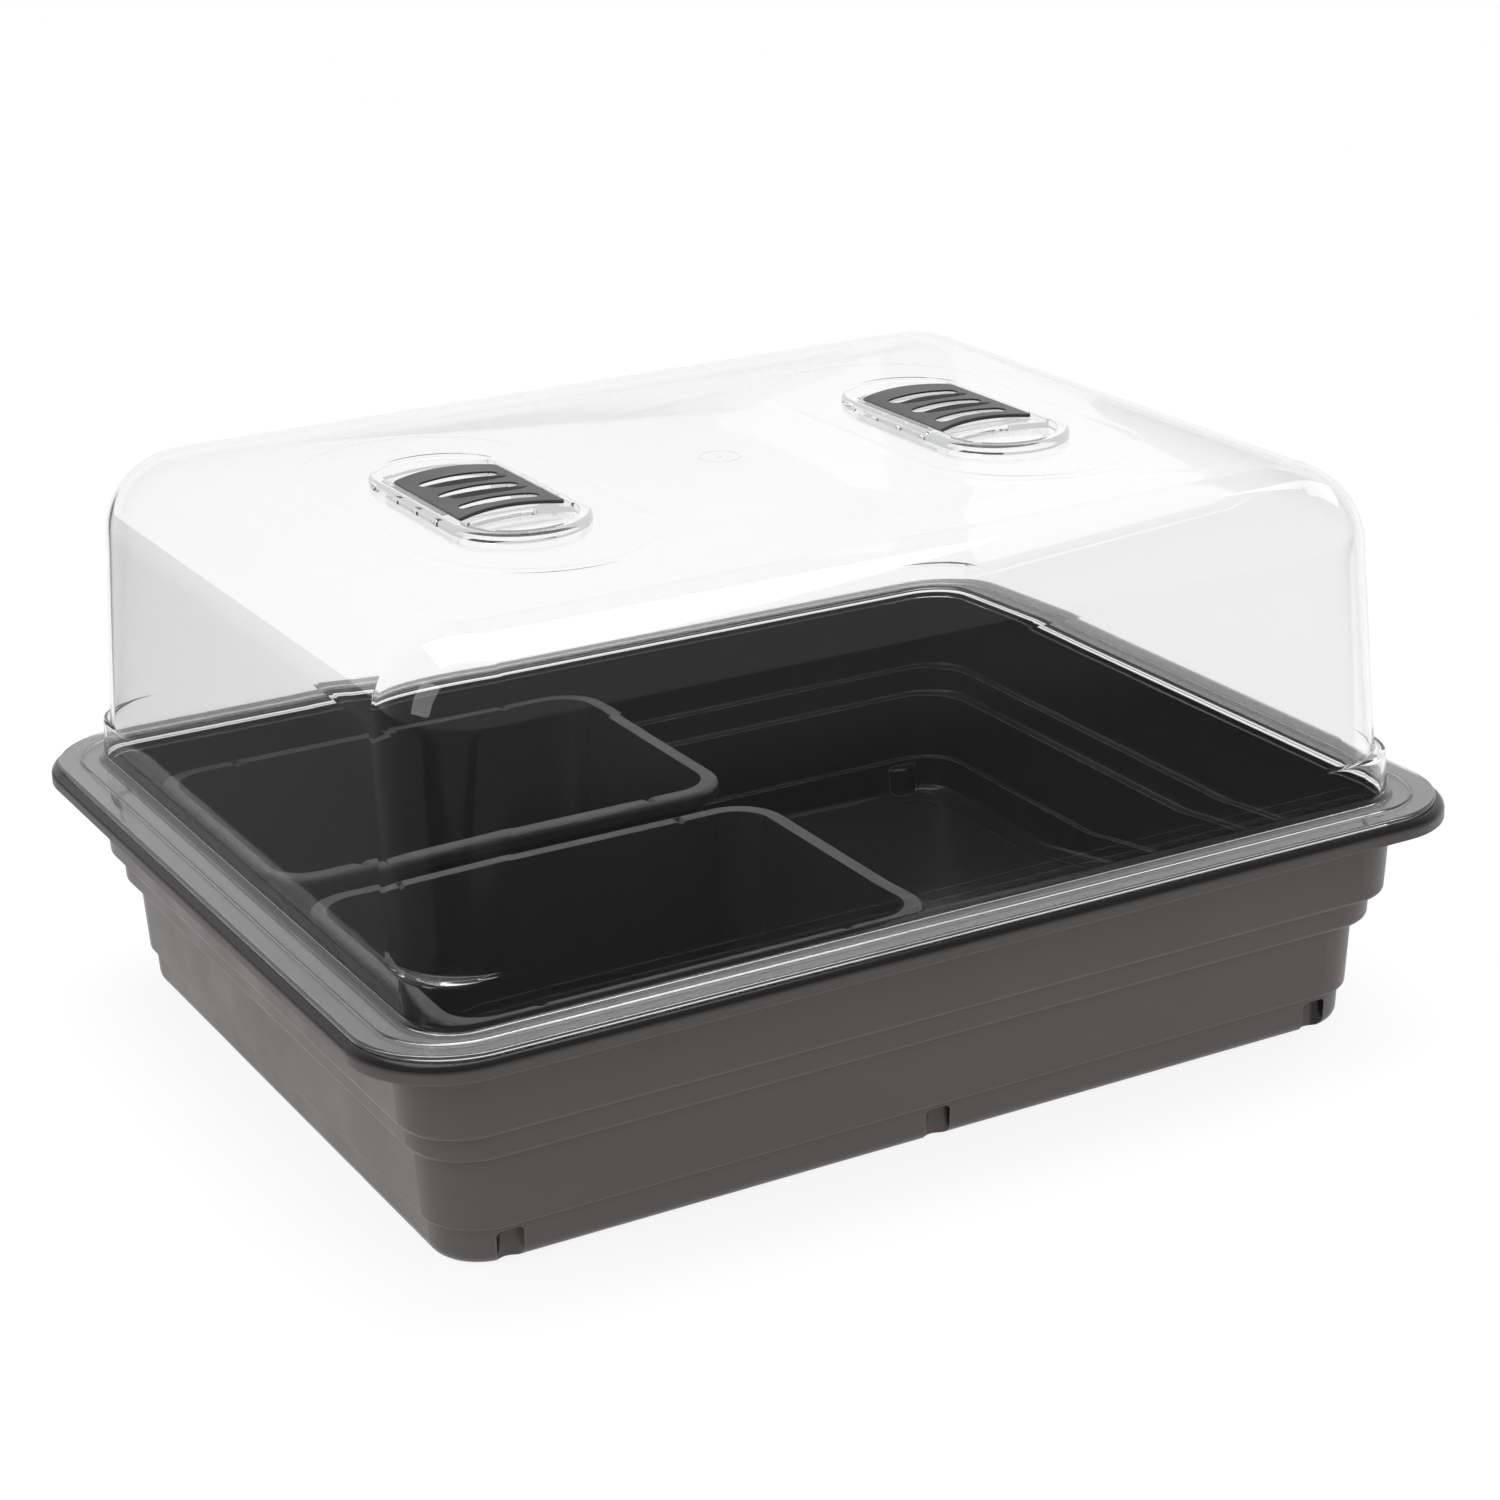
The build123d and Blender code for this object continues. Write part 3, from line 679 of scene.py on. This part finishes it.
HAIR = 0.01 * MM  # overlap of cutters that would otherwise share a face
CUT_ABOVE = 2.0 * MM
SLOT_CUT_DEPTH = 10.0 * MM
SLOT_HALF_LENGTH = 18.5 * MM
SLOT_WIDTH = 6.4 * MM
SLOT_PITCH = 20.0 * MM
SLOT_COUNT = 3
SLOT_FIRST_Y = 25.0 * MM
GATE_RADIUS = 9.0 * MM
GATE_WIDTH = 1.8 * MM
GATE_RISE = 0.12 * MM
GATE_SINK = 0.3 * MM
GATE_DOT_RADIUS = 1.2 * MM
SINK = 1.0 * MM  # how far an added block reaches into the roof


def bow_arc(half_chord, middle_y, steps=20):
    """Points from right to left along the shared bow, whose middle is nearest the back."""
    reach = math.asin(half_chord / BOW_RADIUS)
    angles = [reach - 2.0 * reach * step / steps for step in range(steps + 1)]
    return [
        (BOW_RADIUS * math.sin(angle), middle_y - BOW_RADIUS * (1.0 - math.cos(angle)))
        for angle in angles
    ]


def slot_outline(middle_y, width=SLOT_WIDTH):
    """Outline of a bowed slot with round ends."""
    half_width = width / 2.0
    reach = (SLOT_HALF_LENGTH - half_width) / BOW_RADIUS
    centre_y = middle_y - BOW_RADIUS
    points = []
    for sign, radius in ((1, BOW_RADIUS + half_width), (-1, BOW_RADIUS - half_width)):
        for step in range(17):
            angle = sign * reach * (1.0 - step / 8.0)
            points.append((radius * math.sin(angle), centre_y + radius * math.cos(angle)))
        end = -sign * reach
        middle = (BOW_RADIUS * math.sin(end), centre_y + BOW_RADIUS * math.cos(end))
        for step in range(1, 8):
            turn = math.pi * step / 8.0
            across = sign * half_width * math.cos(turn)
            along = -sign * half_width * math.sin(turn)
            points.append(
                (
                    middle[0] + across * math.sin(end) + along * math.cos(end),
                    middle[1] + across * math.cos(end) - along * math.sin(end),
                )
            )
    return points


def well_outline():
    """The lens-shaped well in front of the grille: frame end circle cut off by the front arch."""
    radius = FRAME_HALF_X - FRAME_WALL
    centre_y = FRAME_Y - (FRAME_HALF_Y - FRAME_HALF_X)
    low, high = 0.0, radius
    for _ in range(40):
        chord = (low + high) / 2.0
        arch_y = FRONT_ARCH_Y - BOW_RADIUS + math.sqrt(BOW_RADIUS**2 - chord**2)
        inside = arch_y > centre_y or chord**2 + (arch_y - centre_y) ** 2 < radius**2
        low, high = (chord, high) if inside else (low, chord)
    arch = bow_arc(low, FRONT_ARCH_Y)
    start = math.atan2(arch[-1][1] - centre_y, arch[-1][0])
    finish = math.atan2(arch[0][1] - centre_y, arch[0][0])
    start -= 2.0 * math.pi if start > 0 else 0.0
    steps = 40
    rim = [
        (
            radius * math.cos(start + (finish - start) * step / steps),
            centre_y + radius * math.sin(start + (finish - start) * step / steps),
        )
        for step in range(1, steps)
    ]
    return arch + rim


def rectangle(low_x, high_x, low_y, high_y):
    """Corners of a rectangle, counter-clockwise."""
    return [(low_x, low_y), (high_x, low_y), (high_x, high_y), (low_x, high_y)]


def prism(outline, low, high, shift_x=0.0):
    """Closed mesh object between two heights."""
    mesh = bmesh.new()
    stack_rings(mesh, [[(shift_x + x, y, height) for x, y in outline] for height in (low, high)])
    return as_object("cutter", mesh)


def racetrack_pad(half_x, half_y, centre, profile):
    """Racetrack block whose edge follows a profile of (inset, height) pairs."""
    mesh = bmesh.new()
    stack_rings(
        mesh,
        [ring(half_x - back, half_y - back, half_x - back, height, centre) for back, height in profile],
    )
    return as_object("pad", mesh)


def plateau_pad(roof, x):
    """Flat panel round a vent that rises from the roof by a soft slope."""
    grow = PLATEAU_SLOPE / 2.0
    low = roof - PLATEAU_SINK
    profile = [(0.0, roof - SINK)]
    for step in range(11):
        share = step / 10.0
        rise = (roof + PLATEAU_RISE - low) * share * share * (3.0 - 2.0 * share)
        profile.append((PLATEAU_SLOPE * share, low + rise))
    profile.append((PLATEAU_SLOPE + SUPPORT, roof + PLATEAU_RISE))
    return racetrack_pad(PLATEAU_HALF_X + grow, PLATEAU_HALF_Y + grow, (x, 0.0), profile)


def frame_pad(roof, x):
    """Raised clear block that each vent frame is cut from."""
    top = roof + FRAME_RISE
    profile = [(0.0, roof - SINK)]
    for angle in quarter(7):
        back = FRAME_ROUNDING * (1.0 - math.cos(angle))
        profile.append((back, top - FRAME_ROUNDING * (1.0 - math.sin(angle))))
    profile.append((FRAME_ROUNDING + SUPPORT, top))
    return racetrack_pad(FRAME_HALF_X, FRAME_HALF_Y, (x, FRAME_Y), profile)


def gate_ring(roof):
    """Fine soft ridge in a ring, and a dot, at the middle of the roof."""
    mesh = bmesh.new()
    low, high = roof - GATE_SINK, roof + GATE_RISE
    section = ((-1.0, low), (1.0, low), (0.35, high), (-0.35, high))
    loops = []
    for side, height in section:
        radius = GATE_RADIUS + side * GATE_WIDTH / 2.0
        loops.append([mesh.verts.new(point) for point in ring(radius, radius, radius, height)])
    for loop, after in zip(loops, loops[1:] + loops[:1]):
        for index in range(len(loop)):
            following = (index + 1) % len(loop)
            mesh.faces.new((loop[index], loop[following], after[following], after[index]))
    dot = (GATE_DOT_RADIUS,) * 3
    stack_rings(mesh, [ring(*dot, height) for height in (low, high)])
    return as_object("gate", mesh)


def as_object(name, mesh):
    """Turns a bmesh into an object of the scene, with its faces' outer sides outwards."""
    bmesh.ops.recalc_face_normals(mesh, faces=mesh.faces)
    data = bpy.data.meshes.new(name)
    mesh.to_mesh(data)
    mesh.free()
    made = bpy.data.objects.new(name, data)
    bpy.context.scene.collection.objects.link(made)
    return made


def vent_cutters(roof, x):
    """Pocket, well, side channels, tongue grooves and slots of one vent."""
    above = roof + FRAME_RISE + CUT_ABOVE
    floor = roof + CHANNEL_RISE
    pocket = bow_arc(POCKET_HALF_X, BACK_ARCH_Y) + bow_arc(POCKET_HALF_X, FRONT_ARCH_Y - MM)[::-1]
    made = [
        prism(pocket, roof + PLATFORM_RISE, above, x),
        prism(well_outline(), roof + PLATEAU_RISE, above, x),
    ]
    for side in (-1, 1):
        edges = sorted((side * CHANNEL_HALF_X, side * (POCKET_HALF_X + HAIR)))
        made.append(prism(rectangle(*edges, *CHANNEL_Y), floor, above, x))
        edges = sorted((side * (POCKET_HALF_X - TONGUE_OVERLAP), side * (POCKET_HALF_X + TONGUE_REACH)))
        made.append(prism(rectangle(*edges, *CHANNEL_Y), floor, roof + TONGUE_ROOF_RISE, x))
    for index in range(SLOT_COUNT):
        outline = slot_outline(SLOT_FIRST_Y - index * SLOT_PITCH)
        made.append(prism(outline, roof - SLOT_CUT_DEPTH, above, x))
    return made


def combine(target, tool, operation):
    """Adds the tool to the target, or cuts it away, and removes the tool."""
    change = target.modifiers.new("combine", "BOOLEAN")
    change.operation = operation
    change.solver = "EXACT"
    change.object = tool
    bpy.context.view_layer.update()
    graph = bpy.context.evaluated_depsgraph_get()
    result = bpy.data.meshes.new_from_object(target.evaluated_get(graph))
    target.modifiers.remove(change)
    target.data = result
    bpy.data.objects.remove(tool)


def build_dome():
    """Clear dome as one closed shell of even rings, with its vent frames and flange."""
    low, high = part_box("dome")
    roof = high.z - FRAME_RISE
    shape = DomeShape(low.z + LIP_DEPTH, roof)
    inner = shape.body_rings(DOME_WALL)[::-1]
    inner.append(shape.wall(shape.flange_top, DOME_WALL, LUG_RADIUS))
    rings = inner + flange_rings(shape, high.x, high.y) + shape.body_rings(0.0)
    mesh = bmesh.new()
    stack_rings(mesh, rings)
    dome = as_object("dome_shell", mesh)
    for x in (-VENT_X, VENT_X):
        combine(dome, plateau_pad(roof, x), "UNION")
        combine(dome, plateau_pad(roof - DOME_WALL, x), "DIFFERENCE")
        combine(dome, frame_pad(roof, x), "UNION")
        for cutter in vent_cutters(roof, x):
            combine(dome, cutter, "DIFFERENCE")
    combine(dome, gate_ring(roof), "UNION")
    finish_mesh(dome)
    return dome


# ---------------------------------------------------------------- vent sliders
SLIDER_HALF_X = 24.5 * MM
SLIDER_LENGTH = 67.5 * MM
SLIDER_CORNER = 2.2 * MM
SLIDER_ROUNDING = 0.7 * MM
SLIDER_CROWN = 1.1 * MM
SLIDER_SKIN = 0.9 * MM
SLIDER_SLOT_WIDTH = 7.6 * MM
SLIDER_SLOT_BACK = 18.0 * MM  # middle of the back slot, in front of the slider's back end
SKIRT_HEIGHT = 1.7 * MM
SKIRT_WIDTH = 1.6 * MM
SKIRT_HALF_Y = 26.0 * MM
TONGUE_HEIGHT = 1.1 * MM
RIM_WIDTH = 1.3 * MM
SKIRT_SHIFT = 1.25 * MM  # how far the skirts' middle lies in front of the plate's
SKIRT_INSET = 0.02 * MM  # keeps the skirts' outer faces off the plate's
SKIRT_OVERLAP = 0.5 * MM
SLIDER_COLUMNS, SLIDER_ROWS = 40, 76  # even cells between the close edge lines
EDGE_LINES = [line * MM for line in (0.0, 0.04, 0.14, 0.30, 0.50, 0.7, 1.0, 1.3, 1.65)]
SCOOP_X = 2.0 * MM
SCOOP_HALF_LENGTH = 17.5 * MM
SCOOP_REACH = 8.0 * MM
SCOOP_DEPTH = 1.5 * MM
SCOOP_START = 0.15  # share of the depth right at the slot
SCOOP_DEEPEST = 0.7  # share of the reach where the scoop is deepest
SCOOP_TAIL = 0.3  # share of the reach over which it runs out
SCOOP_FACES = 0.12 * MM  # faces at least this deep in a scoop get the matt scoop material, whose darker colour is painted shade


def edge_lines(length, count):
    """Places across a length: close together beside both ends, even between."""
    start = EDGE_LINES[-1]
    even = [start + (length - 2.0 * start) * step / count for step in range(1, count)]
    return [*EDGE_LINES, *even, *(length - line for line in reversed(EDGE_LINES))]


def scoop_depth(x, ahead):
    """Depth of the finger scoop at a distance in front of a slot's front edge."""
    lens = 1.0 - ((x - SCOOP_X) / SCOOP_HALF_LENGTH) ** 2
    if lens <= 0.0:
        return 0.0
    lens = math.sqrt(lens)
    share = ahead / (SCOOP_REACH * lens)
    if share <= -1.0 or share >= 1.0:
        return 0.0
    if share < SCOOP_DEEPEST:
        return SCOOP_DEPTH * lens * max(0.0, SCOOP_START + (1.0 - SCOOP_START) * share / SCOOP_DEEPEST)
    rest = (1.0 - share) / SCOOP_TAIL
    return SCOOP_DEPTH * lens * rest * rest * (3.0 - 2.0 * rest)


def slider_point(across, along):
    """Plan place on the plate, bowed and with rounded corners, and its distance from the edge."""
    x = across - SLIDER_HALF_X
    side = min(across, 2.0 * SLIDER_HALF_X - across)
    end = min(along, SLIDER_LENGTH - along)
    past_x, past_y = SLIDER_CORNER - side, SLIDER_CORNER - end
    inset = min(side, end)
    if past_x > 0.0 and past_y > 0.0:
        shrink = max(past_x, past_y) / math.hypot(past_x, past_y)
        x = math.copysign(SLIDER_HALF_X - SLIDER_CORNER + past_x * shrink, x)
        end = SLIDER_CORNER - past_y * shrink
        along = end if along < SLIDER_LENGTH / 2.0 else SLIDER_LENGTH - end
    return x, along, inset


def build_slider(node_name, plastic, matt_grip_and_shade):
    """Thin crowned plate with a turned-down rim, bowed slots, finger scoops and side tongues."""
    low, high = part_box(node_name)
    middle_x = (low.x + high.x) / 2.0
    front = high.y - SLIDER_LENGTH
    bottom = low.z + SKIRT_HEIGHT
    slots = [high.y - SLIDER_SLOT_BACK - index * SLOT_PITCH for index in range(SLOT_COUNT)]
    mesh = bmesh.new()
    skins = ([], [])
    columns = edge_lines(2.0 * SLIDER_HALF_X, SLIDER_COLUMNS)
    rows = edge_lines(SLIDER_LENGTH, SLIDER_ROWS)
    for along_line in rows:
        for skin in skins:
            skin.append([])
        for across_line in columns:
            x, along, inset = slider_point(across_line, along_line)
            bow = BOW_RADIUS - math.sqrt(BOW_RADIUS**2 - x**2)
            top = high.z - SLIDER_CROWN * (x / SLIDER_HALF_X) ** 2
            if inset < SLIDER_ROUNDING:
                short = SLIDER_ROUNDING - inset
                top -= SLIDER_ROUNDING - math.sqrt(SLIDER_ROUNDING**2 - short**2)
            for slot_y in slots[:2]:
                top -= scoop_depth(x, slot_y - SLIDER_SLOT_WIDTH / 2.0 - front - along)
            rim = SLIDER_HALF_X - abs(x) < RIM_WIDTH + HAIR
            under = bottom if rim else max(bottom, top - SLIDER_SKIN)
            y = front + along - bow
            skins[0][-1].append(mesh.verts.new((middle_x + x, y, top)))
            skins[1][-1].append(mesh.verts.new((middle_x + x, y, under)))
    for skin in skins:
        for row, after in zip(skin, skin[1:]):
            for index in range(len(row) - 1):
                mesh.faces.new((row[index], row[index + 1], after[index + 1], after[index]))
    loops = []
    for skin in skins:
        right = [row[-1] for row in skin[1:-1]]
        left = [row[0] for row in skin[1:-1]]
        loops.append(skin[0] + right + skin[-1][::-1] + left[::-1])
    for index in range(len(loops[0])):
        following = (index + 1) % len(loops[0])
        mesh.faces.new((loops[0][index], loops[1][index], loops[1][following], loops[0][following]))
    slider = as_object(node_name + "_plate", mesh)
    middle_y = high.y - SLIDER_LENGTH / 2.0 - SKIRT_SHIFT
    for slot_y in slots:
        outline = slot_outline(slot_y, SLIDER_SLOT_WIDTH)
        combine(slider, prism(outline, bottom - MM, high.z + MM, middle_x), "DIFFERENCE")
    for side in (-1, 1):
        edges = sorted((side * (SLIDER_HALF_X - SKIRT_WIDTH), side * (SLIDER_HALF_X - SKIRT_INSET)))
        outline = rectangle(*edges, middle_y - SKIRT_HALF_Y, middle_y + SKIRT_HALF_Y)
        combine(slider, prism(outline, low.z, bottom + SKIRT_OVERLAP, middle_x), "UNION")
        edges = sorted((side * (SLIDER_HALF_X - SKIRT_OVERLAP), side * (high.x - middle_x)))
        outline = rectangle(*edges, middle_y - SKIRT_HALF_Y, middle_y + SKIRT_HALF_Y)
        combine(slider, prism(outline, low.z, low.z + TONGUE_HEIGHT, middle_x), "UNION")
    finish_mesh(slider, split_many_sided=True)
    slider.data.materials.append(plastic)
    slider.data.materials.append(matt_grip_and_shade)
    # Deep, upward faces of the scoops get the second material: matt, and darker in colour, which is
    # painted shade.
    for face in slider.data.polygons:
        x = face.center.x - middle_x
        bow = BOW_RADIUS - math.sqrt(BOW_RADIUS**2 - x**2)
        ahead = [slot_y - SLIDER_SLOT_WIDTH / 2.0 - face.center.y - bow for slot_y in slots[:2]]
        deep = any(gap > 0.0 and scoop_depth(x, gap) > SCOOP_FACES for gap in ahead)
        if deep and face.normal.z > 0.5:
            face.material_index = 1
    return slider


WELD = 0.002 * MM
SHARP_ANGLE = 32.0


def finish_mesh(piece, split_many_sided=False):
    """Welds stray doubles, sets the faces' sides right and shades the piece smooth.

    Faces with more than four sides may be split into triangles.
    """
    tidy = bmesh.new()
    tidy.from_mesh(piece.data)
    bmesh.ops.remove_doubles(tidy, verts=tidy.verts, dist=WELD)
    if split_many_sided:
        many_sided = [face for face in tidy.faces if len(face.verts) > 4]
        bmesh.ops.triangulate(tidy, faces=many_sided)
    bmesh.ops.recalc_face_normals(tidy, faces=tidy.faces)
    for face in tidy.faces:
        face.smooth = True
    tidy.to_mesh(piece.data)
    tidy.free()
    piece.data.set_sharp_from_angle(angle=math.radians(SHARP_ANGLE))


add_camera()
add_world()
add_floor()
for lamp in LAMPS:
    add_lamp(*lamp)
bpy.context.scene.view_settings.view_transform = "Standard"

# The inside colours of the base are painted shade: the base is one plastic, and its inside and rim top
# are made darker than its outside.
base_plastic = moulded_plastic(
    "base_plastic",
    (0.062, 0.054, 0.051),
    (0.072, 0.063, 0.060),
    0.33,
    inside=((0.006, 0.0055, 0.0055), (0.009, 0.008, 0.008), 0.20, 0.1045),
    grain=0.07,
    specular=0.36,
)
vent_plastic = moulded_plastic("vent_plastic", (0.022, 0.021, 0.022), (0.030, 0.029, 0.030), 0.40)
# Matt material of the finger scoops; its darker colour is painted shade.
grip_and_shade_plastic = moulded_plastic(
    "vent_grip_and_shade", (0.008, 0.008, 0.008), (0.012, 0.012, 0.012), 0.50, specular=0.22
)
seed_plastic = moulded_plastic(
    "seed_tray_plastic",
    (0.007, 0.007, 0.0075),
    (0.011, 0.011, 0.012),
    0.38,
    grain=0.02,
    specular=0.40,
)
dome_plastic = clear_plastic("clear_plastic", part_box("dome")[1].z - FRAME_RISE)

dress("base_tray", base_plastic)
dress("seed_tray_front", seed_plastic)
dress("seed_tray_back", seed_plastic)

dome = build_dome()
dome.data.materials.append(dome_plastic)
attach(dome, "dome_cover")
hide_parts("dome")

for side in ("left", "right"):
    slider = build_slider("vent_slider_" + side, vent_plastic, grip_and_shade_plastic)
    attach(slider, "vent_" + side)
    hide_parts("vent_slider_" + side)
